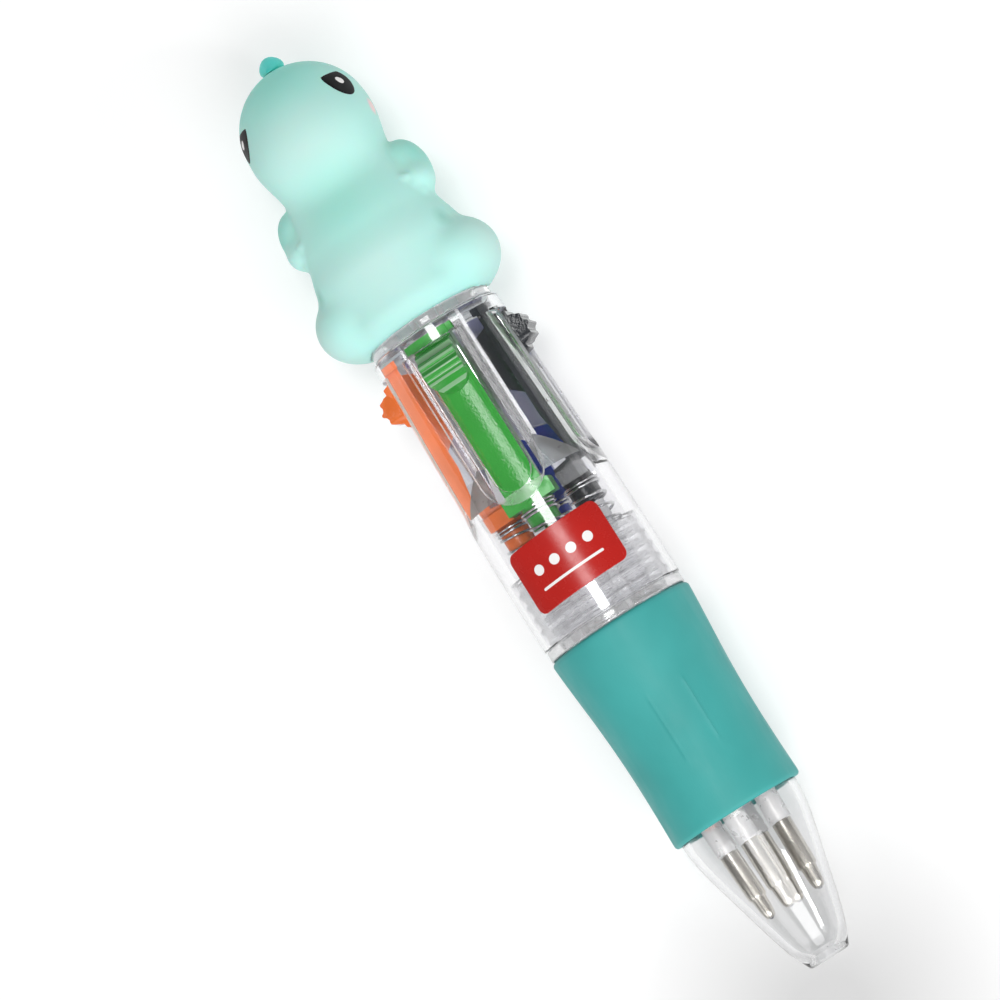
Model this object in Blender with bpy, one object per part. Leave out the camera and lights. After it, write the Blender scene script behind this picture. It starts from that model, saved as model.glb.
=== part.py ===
"""Four-colour click pen with a soft dinosaur topper, lying on its back.

The pen's axis runs along X, nose towards -X. Lengths below are in millimetres. In the part's own
construction, x is the distance from the nose end, and each colour has a direction around the axis.
"""

import math

import bmesh
import bpy
import numpy as np
from mathutils import Matrix, Vector

MM = 0.001

# ---------------------------------------------------------------- driving dimensions
LENGTH = 120.0
AXIS_HEIGHT = 11.0  # the topper's haunches carry the pen this far above the table
ROUND = 40  # sides of a turned shell
GAP = 0.1  # clearance between pieces that rest on each other

NOSE_OUTSIDE = [(0.0, 2.44), (5.9, 4.63), (11.4, 6.05), (15.8, 7.1), (19.0, 7.4)]
NOSE_HOLE = 1.6
NOSE_WALL = 0.9

GRIP_START, GRIP_END = 19.1, 43.9
GRIP_SEAT = 7.15  # radius of the lower barrel under the grip
GRIP_OUTSIDE = [(19.1, 7.9), (19.35, 8.13), (23.1, 8.04), (28.0, 8.01), (33.4, 8.19),
                (38.9, 8.58), (42.6, 8.86), (43.5, 8.9), (43.9, 8.55)]

FLANGE_LOW, FLANGE_HIGH, FLANGE_RADIUS = 44.0, 45.2, 8.72  # clear ring above the grip
SPIGOT_END = 53.3  # the two barrels screw together from the flange to here
THREAD_PITCH = 1.55
THREAD_ROOT, THREAD_HEIGHT = 7.72, 0.32
SPIGOT_BORE = 7.05
LOWER_BORE = 6.2
LEDGE = 41.9  # step in the bore that carries the guide plate
PLATE_THICKNESS = 1.5
PLATE_HOLE = 1.62

BARREL_TOP = 82.9
BARREL_OUTSIDE = [(45.35, 8.83), (56.0, 8.8), (73.0, 8.43), (82.9, 8.1)]
BARREL_BORE_LOW, BARREL_BORE_TOP = 7.3, 7.08
THREADED_MOUTH = 8.17
CHANNEL_HALF = 3.05  # the barrel's four inner ribs leave a channel this far each side of a slider
RIB_LOW, RIB_POINT, RIB_END = 61.7, 68.4, 82.75
RIB_RADIUS = 7.6  # a rib runs on into the barrel's wall

SLOT_WIDTH, SLOT_LOW, SLOT_HIGH = 4.76, 61.8, 80.9
RECESS_WIDTH, RECESS_LOW, RECESS_DEPTH = 7.75, 60.3, 0.3

TRAVEL = 10.0  # of a slider, from rest to its latched place
RAIL_WIDTH, RAIL_TOP, RAIL_END = 5.8, 6.2, 82.1
SHOULDER = 59.8  # lower end of a slider's rail, where its spring pushes
STEM_END, STEM_RADIUS = 57.0, 1.75
PEG_END, PEG_RADIUS = 52.5, 0.55
WAIST_LOW, WAIST_HIGH = 61.6, 81.2  # between these a rail is only as wide as its block
BLOCK_LOW, BLOCK_WIDTH, BLOCK_TOP = 61.7, 4.6, 6.9  # the block fills the slot from below
THUMB_LOW, THUMB_HIGH, THUMB_WIDTH = 74.8, 80.7, 4.6
THUMB_TOP, THUMB_DROP, THUMB_RIDGE = 10.05, 2.6, 0.32

REFILL_OFFSET = 4.6  # from the pen's axis to a stem's centre
REFILL_ROOT = 55.0  # where the tube starts to lean, on its peg
TIP_OFFSET = 3.25  # from the pen's axis to a retracted ball
TUBE_RADIUS, TUBE_BORE = 1.3, 0.8
METAL_START, METAL_RADIUS = 15.8, 1.15
NEEDLE_START, NEEDLE_RADIUS = 9.85, 0.92
BALL_SEAT, BALL_RADIUS = 7.3, 0.36
TIP_BORE = 0.22  # the ink's way to the ball
INK_LEVEL = 45.0  # how far up its tube the ink stands

SPRING_RADIUS, WIRE_RADIUS = 2.02, 0.17
CLOSE_PITCH, CLOSE_TURNS, OPEN_TURNS = 0.42, 2, 9

LABEL_LOW, LABEL_HIGH, LABEL_WIDTH, LABEL_CORNER = 48.75, 56.4, 12.65, 1.05
LABEL_THICKNESS, LABEL_TURN = 0.12, -2.0
LABEL_SLANT = -0.04  # it is stuck on a little crooked

CAP_LOW, CAP_HIGH, CAP_RADIUS = 83.0, 84.25, 7.7
BOSS_RADIUS, BOSS_END = 4.0, 92.0
CREST_HEIGHT = 2.24

# name, direction around the axis (0 is up, 90 is towards -Y), colour
COLOURS = [("green", 0, (0.13, 0.39, 0.11)), ("black", 90, (0.03, 0.035, 0.045)),
           ("blue", 180, (0.02, 0.07, 0.33)), ("orange", 270, (0.88, 0.22, 0.03))]


# ---------------------------------------------------------------- tools
def material(name, colour, roughness=0.4, metallic=0.0, alpha=1.0):
    made = bpy.data.materials.new(name)
    made.use_nodes = True
    shader = made.node_tree.nodes["Principled BSDF"]
    shader.inputs["Base Color"].default_value = (*colour, 1.0)
    shader.inputs["Roughness"].default_value = roughness
    shader.inputs["Metallic"].default_value = metallic
    shader.inputs["Alpha"].default_value = alpha
    made.diffuse_color = (*colour, alpha)
    return made


def new_mesh(name, points, faces):
    """A mesh from points in millimetres, its faces turned outwards."""
    mesh = bpy.data.meshes.new(name)
    mesh.from_pydata([[c * MM for c in p] for p in points], [], faces)
    work = bmesh.new()
    work.from_mesh(mesh)
    bmesh.ops.recalc_face_normals(work, faces=work.faces)
    work.to_mesh(mesh)
    work.free()
    return mesh


def place(name, mesh, look, parent, smooth=True):
    mesh.name = name
    mesh.materials.clear()
    mesh.materials.append(look)
    if smooth:
        mesh.shade_smooth()
        mesh.set_sharp_from_angle(angle=math.radians(35))
    made = bpy.data.objects.new(name, mesh)
    bpy.context.scene.collection.objects.link(made)
    made.parent = parent
    return made


def empty(name, parent=None, location=(0, 0, 0), rotation=(0, 0, 0)):
    made = bpy.data.objects.new(name, None)
    bpy.context.scene.collection.objects.link(made)
    made.parent = parent
    made.location = [c * MM for c in location]
    made.rotation_euler = rotation
    return made


def turned(profile, sides=ROUND, swell=None):
    """A closed (x, radius) profile turned about the X axis. A point at radius 0 becomes a pole.

    swell(x, angle) gives an extra radius, for a thread.
    """
    points, rings = [], []
    for x, radius in profile:
        if radius == 0:
            rings.append([len(points)] * sides)
            points.append((x, 0.0, 0.0))
            continue
        rings.append(list(range(len(points), len(points) + sides)))
        for k in range(sides):
            angle = 2 * math.pi * k / sides
            r = radius + (swell(x, angle) if swell else 0.0)
            points.append((x, r * math.cos(angle), r * math.sin(angle)))
    pairs = list(zip(rings, rings[1:]))
    if profile[0][1] != 0 or profile[-1][1] != 0:
        pairs.append((rings[-1], rings[0]))
    faces = []
    for low, high in pairs:
        for k in range(sides):
            n = (k + 1) % sides
            corners = [low[k], low[n], high[n], high[k]]
            face = list(dict.fromkeys(corners))
            if len(face) > 2:
                faces.append(face)
    return new_mesh("turned", points, faces)


def extruded(outline, low, high, across):
    """An outline pushed from low to high. across is the direction of the push: y or z."""
    points = []
    for level in (low, high):
        for x, other in outline:
            points.append((x, level, other) if across == "y" else (x, other, level))
    n = len(outline)
    faces = [list(range(n))[::-1], list(range(n, 2 * n))]
    faces += [[k, (k + 1) % n, n + (k + 1) % n, n + k] for k in range(n)]
    return new_mesh("extruded", points, faces)


def arc(x, y, radius, start, end, steps):
    """Points on an arc, with its angles in degrees."""
    angles = [math.radians(start + (end - start) * k / steps) for k in range(steps + 1)]
    return [(x + radius * math.cos(a), y + radius * math.sin(a)) for a in angles]


def moved(mesh, matrix):
    copy = mesh.copy()
    copy.transform(matrix)
    return copy


def around(mesh, angle):
    """The mesh turned about the pen's axis, from up towards -Y."""
    return moved(mesh, Matrix.Rotation(math.radians(angle), 4, "X"))


def shaped(base, *steps):
    """The mesh left after a chain of (operation, tool mesh) Boolean steps."""
    scratch = []
    target = bpy.data.objects.new("blank", base)
    scratch.append(target)
    for operation, tool_mesh in steps:
        tool = bpy.data.objects.new("tool", tool_mesh)
        tool.hide_render = True
        tool.display_type = "WIRE"
        scratch.append(tool)
        step = target.modifiers.new(operation, "BOOLEAN")
        step.operation = operation
        step.solver = "EXACT"
        step.object = tool
    for item in scratch:
        bpy.context.scene.collection.objects.link(item)
    bpy.context.view_layer.update()
    graph = bpy.context.evaluated_depsgraph_get()
    result = bpy.data.meshes.new_from_object(target.evaluated_get(graph))
    for item in scratch:
        bpy.data.objects.remove(item)
    work = bmesh.new()
    work.from_mesh(result)
    bmesh.ops.remove_doubles(work, verts=work.verts, dist=0.002 * MM)
    bmesh.ops.dissolve_degenerate(work, edges=work.edges, dist=0.002 * MM)
    work.to_mesh(result)
    work.free()
    return result


def joined(meshes):
    """Several meshes that don't touch, as one."""
    work = bmesh.new()
    for mesh in meshes:
        work.from_mesh(mesh)
    result = bpy.data.meshes.new("joined")
    work.to_mesh(result)
    work.free()
    return result


def radius_at(profile, x):
    return float(np.interp(x, [p[0] for p in profile], [p[1] for p in profile]))


# ---------------------------------------------------------------- shells
def thread(x, angle):
    """The spigot's ridge, which fades out at both ends of the thread."""
    run_out = 0.8
    fade = min(1.0, (x - FLANGE_HIGH - 0.3) / run_out, (SPIGOT_END - 0.3 - x) / run_out)
    if fade <= 0:
        return 0.0
    phase = (x / THREAD_PITCH + angle / (2 * math.pi)) % 1.0
    return THREAD_HEIGHT * fade * (0.5 + 0.5 * math.cos(2 * math.pi * phase))


def lower_barrel_mesh():
    """Outside and inside are turned apart, because only the outside carries the thread."""
    thread_rows = np.arange(FLANGE_HIGH + 0.4, SPIGOT_END - 0.2, THREAD_PITCH / 4)
    outside = list(NOSE_OUTSIDE)
    outside += [(NOSE_OUTSIDE[-1][0], GRIP_SEAT), (FLANGE_LOW, GRIP_SEAT)]
    outside += [(FLANGE_LOW, FLANGE_RADIUS), (FLANGE_HIGH, FLANGE_RADIUS)]
    outside += [(FLANGE_HIGH, THREAD_ROOT)]
    outside += [(float(x), THREAD_ROOT) for x in thread_rows]
    outside += [(SPIGOT_END, THREAD_ROOT)]
    body = turned([(0.0, 0.0)] + outside + [(SPIGOT_END, 0.0)], swell=thread)
    nose_inside = [(x, r - NOSE_WALL) for x, r in NOSE_OUTSIDE[1:]]
    inside = [(-1.0, 0.0), (-1.0, NOSE_HOLE), (1.1, NOSE_HOLE)] + nose_inside
    inside += [(GRIP_START + 2.5, LOWER_BORE), (LEDGE, LOWER_BORE), (LEDGE, SPIGOT_BORE)]
    inside += [(SPIGOT_END + 1, SPIGOT_BORE), (SPIGOT_END + 1, 0.0)]
    return shaped(body, ("DIFFERENCE", turned(inside)))


def slot_outline(low, high, width, steps):
    half = width / 2
    lower_end = arc(low + half, 0.0, half, 270, 90, steps)
    return lower_end + [(high, half), (high, -half)]


def inner_ribs():
    """Solid corners between the sliders' channels, with a conical lower end."""
    far = RIB_RADIUS + 0.2
    corner = extruded([(RIB_LOW - 1, CHANNEL_HALF), (RIB_END + 1, CHANNEL_HALF),
                       (RIB_END + 1, far), (RIB_LOW - 1, far)], CHANNEL_HALF, far, "z")
    limits = turned([(RIB_POINT, 0.0), (RIB_POINT, CHANNEL_HALF), (RIB_LOW, RIB_RADIUS),
                     (RIB_END, RIB_RADIUS), (RIB_END, 0.0)])
    rib = shaped(corner, ("INTERSECT", limits))
    return joined([around(rib, 90 * k) for k in range(4)])


def upper_barrel_mesh():
    outside = BARREL_OUTSIDE
    bore_step = SPIGOT_END + 0.3
    profile = outside + [(BARREL_TOP, BARREL_BORE_TOP), (bore_step, BARREL_BORE_LOW),
                         (bore_step, THREADED_MOUTH), (outside[0][0], THREADED_MOUTH)]
    knee = outside[2][0]
    span = (RECESS_LOW - 2, knee, BARREL_TOP)
    recess_floor = [(span[0], 0.0)]
    recess_floor += [(x, radius_at(outside, x) - RECESS_DEPTH) for x in span]
    recess_floor += [(BARREL_TOP, 0.0)]
    recess = extruded(slot_outline(RECESS_LOW, SLOT_HIGH, RECESS_WIDTH, 10), 5.0, 12.0, "z")
    recess = shaped(recess, ("DIFFERENCE", turned(recess_floor)))
    slot = extruded(slot_outline(SLOT_LOW, SLOT_HIGH, SLOT_WIDTH, 10), 4.0, 13.0, "z")
    angles = [angle for _, angle, _ in COLOURS]
    return shaped(turned(profile),
                  ("UNION", inner_ribs()),
                  ("DIFFERENCE", joined([around(recess, a) for a in angles])),
                  ("DIFFERENCE", joined([around(slot, a) for a in angles])))


def grip_mesh():
    inside = GRIP_SEAT + GAP
    return turned(GRIP_OUTSIDE + [(GRIP_END, inside), (GRIP_START, inside)])


def label_mesh():
    """A rounded rectangle wrapped on the barrel, facing up and a little to one side."""
    half, tall = LABEL_WIDTH / 2, (LABEL_HIGH - LABEL_LOW) / 2
    middle = (LABEL_HIGH + LABEL_LOW) / 2
    corner = [LABEL_CORNER * (1 - math.cos(math.radians(a))) for a in (0, 22, 45, 67, 90)]
    edge = [half - c for c in corner]
    stations = [-e for e in edge] + list(np.linspace(-edge[-1], edge[-1], 14)[1:-1]) + edge[::-1]
    points = []
    for s in stations:
        over = max(0.0, abs(s) - (half - LABEL_CORNER))
        high = tall - LABEL_CORNER + math.sqrt(max(0.0, LABEL_CORNER ** 2 - over ** 2))
        for x in (middle - high + LABEL_SLANT * s, middle + high + LABEL_SLANT * s):
            for lift in (0.06, 0.06 + LABEL_THICKNESS):
                r = radius_at(BARREL_OUTSIDE, x) + lift
                angle = s / radius_at(BARREL_OUTSIDE, middle) + math.radians(LABEL_TURN)
                points.append((x, r * math.sin(angle), r * math.cos(angle)))
    faces = []
    last = len(stations) - 1
    for k in range(last):
        a, b = 4 * k, 4 * (k + 1)
        for i, j in ((0, 1), (1, 3), (3, 2), (2, 0)):
            faces.append([a + i, a + j, b + j, b + i])
    faces += [[0, 1, 3, 2], [4 * last, 4 * last + 2, 4 * last + 3, 4 * last + 1]]
    return new_mesh("label", points, faces)


def guide_plate_mesh():
    top = LEDGE + GAP + PLATE_THICKNESS
    plate = turned([(LEDGE + GAP, 0.0), (LEDGE + GAP, SPIGOT_BORE - 0.2),
                    (top, SPIGOT_BORE - 0.2), (top, 0.0)])
    hole = turned([(LEDGE - 1, 0.0), (LEDGE - 1, PLATE_HOLE), (top + 1, PLATE_HOLE),
                   (top + 1, 0.0)], 16)
    hole = moved(hole, Matrix.Translation((0, 0, (REFILL_OFFSET - 0.25) * MM)))
    holes = joined([around(hole, angle) for _, angle, _ in COLOURS])
    return shaped(plate, ("DIFFERENCE", holes))


def slider_core_mesh():
    """A hub with four fins between the sliders, each up to a rib of the barrel."""
    ledge = RAIL_END - TRAVEL + 0.3
    hub = turned([(65.0, 0.0), (65.5, 1.2), (ledge - 0.2, 1.2), (ledge, 1.5), (ledge + 1, 1.5),
                  (ledge + 1.2, 1.2), (BARREL_TOP + 3.2, 1.2), (BARREL_TOP + 3.2, 0.0)], 16)
    reach = CHANNEL_HALF * math.sqrt(2) - 0.16
    fin = [(68.4, 0.4), (66.4, reach), (BARREL_TOP - 0.1, reach), (BARREL_TOP - 0.1, 0.4)]
    fins = []
    for k in range(4):
        blade = extruded(fin, -0.38, 0.38, "y")
        fins.append(("UNION", around(blade, 45 + 90 * k)))
    return shaped(hub, *fins)


def end_cap_mesh():
    """The collar under the topper, its boss, and the socket for the core's hub."""
    socket = 1.4
    return turned([(CAP_LOW, socket), (CAP_LOW, CAP_RADIUS - 0.2), (CAP_LOW + 0.2, CAP_RADIUS),
                   (CAP_HIGH, CAP_RADIUS), (CAP_HIGH, BOSS_RADIUS), (BOSS_END - 0.6, BOSS_RADIUS),
                   (BOSS_END, BOSS_RADIUS - 0.6), (BOSS_END, 0.0), (BARREL_TOP + 3.6, 0.0),
                   (BARREL_TOP + 3.6, socket)])


# ---------------------------------------------------------------- topper
def ball_field(p, centre, radii):
    """Nearly the distance from an ellipsoid, negative inside."""
    q = (p - np.array(centre)) / np.array(radii)
    k0 = np.linalg.norm(q, axis=-1)
    k1 = np.linalg.norm(q / np.array(radii), axis=-1)
    return k0 * (k0 - 1.0) / np.maximum(k1, 1e-9)


def drum_field(p, x, half, radius, rounding):
    """Distance from a drum with rounded rims, about the pen's axis."""
    flat = np.hypot(p[..., 1], p[..., 2]) - radius + rounding
    tall = np.abs(p[..., 0] - x) - half + rounding
    outside = np.hypot(np.maximum(flat, 0), np.maximum(tall, 0))
    return outside + np.minimum(np.maximum(flat, tall), 0) - rounding


def soft_union(fields, softness):
    total = fields[0]
    for field in fields[1:]:
        h = np.maximum(softness - np.abs(total - field), 0) / softness
        total = np.minimum(total, field) - h * h * softness / 4
    return total


def topper_field(p):
    """The dinosaur's skin is where this is 0. It faces up (+Z), and is the same on both sides."""
    p = p * np.array([1.0, 0.0, 1.0]) + np.abs(p) * np.array([0.0, 1.0, 0.0])
    trunk = soft_union([
        drum_field(p, 89.4, 5.4, 9.15, 3.0),
        ball_field(p, (94.6, 0, 0.6), (9.8, 8.4, 8.5)),
        drum_field(p, 102.5, 8.0, 6.85, 3.0),
        ball_field(p, (110.4, 0, 0), (7.5, 7.75, 7.65)),
    ], 2.5)
    trunk = soft_union([trunk, ball_field(p, (107.6, 0, 4.6), (4.6, 5.6, 3.7))], 3.4)
    arm = soft_union([ball_field(p, (100.0, 7.3, -0.4), (3.7, 2.5, 3.1)),
                      ball_field(p, (98.2, 7.45, 1.5), (1.9, 2.15, 2.5))], 1.2)
    leg = ball_field(p, (88.4, 6.1, 0.6), (4.8, 5.8, 6.4))
    haunch = ball_field(p, (89.5, 5.0, -4.4), (4.4, 5.2, 6.6))
    return soft_union([soft_union([trunk, leg, haunch], 0.9), arm], 0.7)


def skin_distance(origins, directions):
    """How far along each ray the skin's outermost crossing is."""
    reach = np.arange(0.0, 16.0, 0.1)
    near = np.zeros(len(origins))
    for t in reach:
        near[topper_field(origins + directions * t) < 0] = t
    far = near + 0.1
    for _ in range(12):
        middle = (near + far) / 2
        inside = topper_field(origins + directions * middle[:, None]) < 0
        near, far = np.where(inside, middle, near), np.where(inside, far, middle)
    return near


def skin_points(x, tilt, angle):
    """Skin points seen from the axis: tilt leans a ray from straight out (0) to the top (90)."""
    x, tilt, angle = np.broadcast_arrays(x, np.radians(tilt), np.radians(angle))
    x, tilt, angle = x.ravel().astype(float), tilt.ravel(), angle.ravel()
    origins = np.stack([x, 0 * x, 0 * x], -1)
    directions = np.stack([np.sin(tilt), np.cos(tilt) * np.sin(angle),
                           np.cos(tilt) * np.cos(angle)], -1)
    return origins + directions * skin_distance(origins, directions)[:, None]


def topper_mesh():
    sides, head, foot = 32, 110.3, 89.4
    rows = [(foot, -t) for t in (33, 28, 20, 11)]
    rows += [(x, 0) for x in np.linspace(foot, head, 17)]
    rows += [(head, t) for t in (12, 24, 36, 48, 60, 72, 82)]
    angles = np.arange(sides) * 360 / sides
    points = [list(p) for x, t in rows for p in skin_points(x, t, angles)]
    rings = [list(range(k * sides, (k + 1) * sides)) for k in range(len(rows))]
    under = CAP_HIGH + GAP
    pocket = [(under, CAP_RADIUS + GAP), (under, BOSS_RADIUS + GAP),
              (BOSS_END + GAP, BOSS_RADIUS + GAP)]
    for x, radius in pocket:
        ring = []
        for angle in np.radians(angles):
            ring.append(len(points))
            points.append([x, radius * math.sin(angle), radius * math.cos(angle)])
        rings.insert(0, ring)
    faces = [list(rings[0])]
    for low, high in zip(rings, rings[1:]):
        for k in range(sides):
            n = (k + 1) % sides
            faces.append([low[k], low[n], high[n], high[k]])
    top = len(points)
    points.append(list(skin_points(head, 90, 0)[0]))
    faces += [[rings[-1][k], rings[-1][(k + 1) % sides], top] for k in range(sides)]
    return new_mesh("topper", points, faces)


def crest_mesh():
    """A ridge of blunt spikes over the crown and down the back, standing just off the skin."""
    steps_per_spike, spikes = 6, 5
    count = steps_per_spike * spikes
    route = [(110.3, 100 - 12.5 * k) for k in range(8)] + [(110.3 - 1.15 * k, 0) for k in range(10)]
    line = np.array([skin_points(x, t, 180.0)[0] for x, t in route])
    length = np.concatenate([[0], np.cumsum(np.linalg.norm(np.diff(line, axis=0), axis=1))])
    even = np.linspace(0, length[-1], count + 1)
    line = np.stack([np.interp(even, length, line[:, k]) for k in range(3)], -1)
    points, faces = [], []
    for k in range(count + 1):
        along = line[min(k + 1, count)] - line[max(k - 1, 0)]
        out = np.array([-along[2], 0.0, along[0]]) / np.linalg.norm(along)
        if out @ (line[k] - np.array([104.0, 0, 0])) < 0:
            out = -out
        spike, part = divmod(k, steps_per_spike)
        peak = math.sin(math.pi * part / steps_per_spike) ** 1.3
        tall = 0.45 + (CREST_HEIGHT - 0.45) * (1 - 0.12 * spike) * peak
        wide = 0.45 + 1.3 * peak * (1 - 0.1 * spike)
        for lift, half in ((0.12, wide), (0.12 + 0.55 * tall, 0.8 * wide), (tall, 0.3 * wide)):
            for side in (-1, 1):
                points.append(list(line[k] + out * lift + np.array([0, side * half, 0])))
    ring = [0, 1, 3, 5, 4, 2]
    for k in range(count):
        a, b = 6 * k, 6 * (k + 1)
        for i, j in zip(ring, ring[1:] + ring[:1]):
            faces.append([a + i, a + j, b + j, b + i])
    faces += [ring, [6 * count + i for i in reversed(ring)]]
    return new_mesh("crest", points, faces)


# ---------------------------------------------------------------- pieces that repeat in four colours
def slider_mesh():
    """Rail, thumb tab with its ridges, cam web, stem and refill peg, for the colour on top."""
    rail = [(SHOULDER, 3.2), (SHOULDER + 2.2, 3.2), (SHOULDER + 2.5, 5.2), (68.0, 4.2),
            (RAIL_END, 4.2), (RAIL_END, RAIL_TOP), (SHOULDER, RAIL_TOP)]
    half, block_half = RAIL_WIDTH / 2, BLOCK_WIDTH / 2
    waists = [extruded([(WAIST_LOW, side * block_half), (WAIST_HIGH, side * block_half),
                        (WAIST_HIGH, side * 5), (WAIST_LOW, side * 5)], 2.0, 9.0, "z")
              for side in (-1, 1)]
    block = extruded(slot_outline(BLOCK_LOW, RAIL_END, BLOCK_WIDTH, 8), RAIL_TOP - 0.6, 9.0, "z")
    round_top = turned([(SHOULDER, 0.0), (SHOULDER, BLOCK_TOP), (RAIL_END + 1, BLOCK_TOP),
                        (RAIL_END + 1, 0.0)], 72)
    block = shaped(block, ("INTERSECT", round_top))
    ridges, length = 5, THUMB_HIGH - THUMB_LOW
    top_line = []
    for k in range(2 * ridges + 1):
        share = k / (2 * ridges)
        height = THUMB_TOP - THUMB_RIDGE - THUMB_DROP * (2 * share - 1) ** 2
        top_line.append((THUMB_LOW + length * share, height + (THUMB_RIDGE if k % 2 else 0.0)))
    base = RAIL_TOP - 0.6
    tab = [(THUMB_HIGH, base), (THUMB_LOW, base)] + top_line
    web = [(69.5, 4.6), (73.0, 1.75), (79.0, 1.75), (81.0, 4.6)]
    stem = turned([(STEM_END, 0.0), (STEM_END, STEM_RADIUS - 0.2), (STEM_END + 0.2, STEM_RADIUS),
                   (SHOULDER + 0.5, STEM_RADIUS), (SHOULDER + 0.5, 0.0)], 16)
    peg = turned([(PEG_END, 0.0), (PEG_END, PEG_RADIUS), (STEM_END + 0.5, PEG_RADIUS),
                  (STEM_END + 0.5, 0.0)], 8)
    raised = Matrix.Translation((0, 0, REFILL_OFFSET * MM))
    return shaped(extruded(rail, -half, half, "y"),
                  ("DIFFERENCE", joined(waists)),
                  ("UNION", block),
                  ("UNION", extruded(tab, -THUMB_WIDTH / 2, THUMB_WIDTH / 2, "y")),
                  ("UNION", extruded(web, -0.7, 0.7, "y")),
                  ("UNION", moved(stem, raised)),
                  ("UNION", moved(peg, raised)))


def spring_mesh():
    """A coil with close turns at both ends, standing on the guide plate."""
    low = LEDGE + GAP + PLATE_THICKNESS + WIRE_RADIUS + 0.05
    high = SHOULDER - WIRE_RADIUS - 0.05
    turns, per_turn, wire_sides = 2 * CLOSE_TURNS + OPEN_TURNS, 10, 3
    open_pitch = (high - low - 2 * CLOSE_TURNS * CLOSE_PITCH) / OPEN_TURNS
    marks = [0, CLOSE_TURNS, CLOSE_TURNS + OPEN_TURNS, turns]
    heights = np.cumsum([low, CLOSE_TURNS * CLOSE_PITCH, OPEN_TURNS * open_pitch,
                         CLOSE_TURNS * CLOSE_PITCH])
    points, faces = [], []
    steps = turns * per_turn
    for k in range(steps + 1):
        turn = k / per_turn
        angle = 2 * math.pi * turn
        x = float(np.interp(turn, marks, heights))
        for side in range(wire_sides):
            a = 2 * math.pi * side / wire_sides
            r = SPRING_RADIUS + WIRE_RADIUS * math.cos(a)
            points.append((x + WIRE_RADIUS * math.sin(a), r * math.sin(angle),
                           REFILL_OFFSET + r * math.cos(angle)))
    for k in range(steps):
        a, b = wire_sides * k, wire_sides * (k + 1)
        faces += [[a + s, a + (s + 1) % wire_sides, b + (s + 1) % wire_sides, b + s]
                  for s in range(wire_sides)]
    last = wire_sides * steps
    faces += [list(range(wire_sides)), [last + s for s in reversed(range(wire_sides))]]
    return new_mesh("spring", points, faces)


def refill_meshes():
    """Tube, metal tip, ball and ink, straight along X with the tube's root at x = 0."""
    to_root = 1.0 / math.cos(LEAN)

    def at(x):
        return (x - REFILL_ROOT) * to_root

    metal, needle, ball = at(METAL_START), at(NEEDLE_START), at(BALL_SEAT)
    tube_top = at(STEM_END) - GAP
    shank = TUBE_BORE - GAP
    tube = turned([(metal, TUBE_RADIUS), (tube_top, TUBE_RADIUS), (tube_top, TUBE_BORE),
                   (metal, TUBE_BORE)], 16)
    cup = BALL_RADIUS + 0.08
    nib = [(ball + 0.5, TIP_BORE), (ball + 0.5, cup), (ball, cup), (ball, cup + 0.1),
           (ball + 0.25, 0.65), (ball + 0.8, 0.8)]
    tip = turned(nib + [(needle, NEEDLE_RADIUS), (needle, METAL_RADIUS - 0.1),
                        (needle + 0.2, METAL_RADIUS), (metal - GAP, METAL_RADIUS),
                        (metal - GAP, shank), (metal + 3.0, shank), (metal + 3.0, TIP_BORE)], 16)
    sphere = bmesh.new()
    bmesh.ops.create_icosphere(sphere, subdivisions=2, radius=BALL_RADIUS * MM)
    bmesh.ops.translate(sphere, verts=sphere.verts, vec=((ball + 0.1) * MM, 0, 0))
    ball_mesh = bpy.data.meshes.new("ball")
    sphere.to_mesh(ball_mesh)
    sphere.free()
    ink = turned([(metal + 3.2, 0.0), (metal + 3.2, shank), (at(INK_LEVEL), shank),
                  (at(INK_LEVEL), 0.0)], 12)
    return tube, tip, ball_mesh, ink


# How far a retracted refill leans inwards from its root to its ball
LEAN = math.atan2(REFILL_OFFSET - TIP_OFFSET, REFILL_ROOT - BALL_SEAT)


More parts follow.
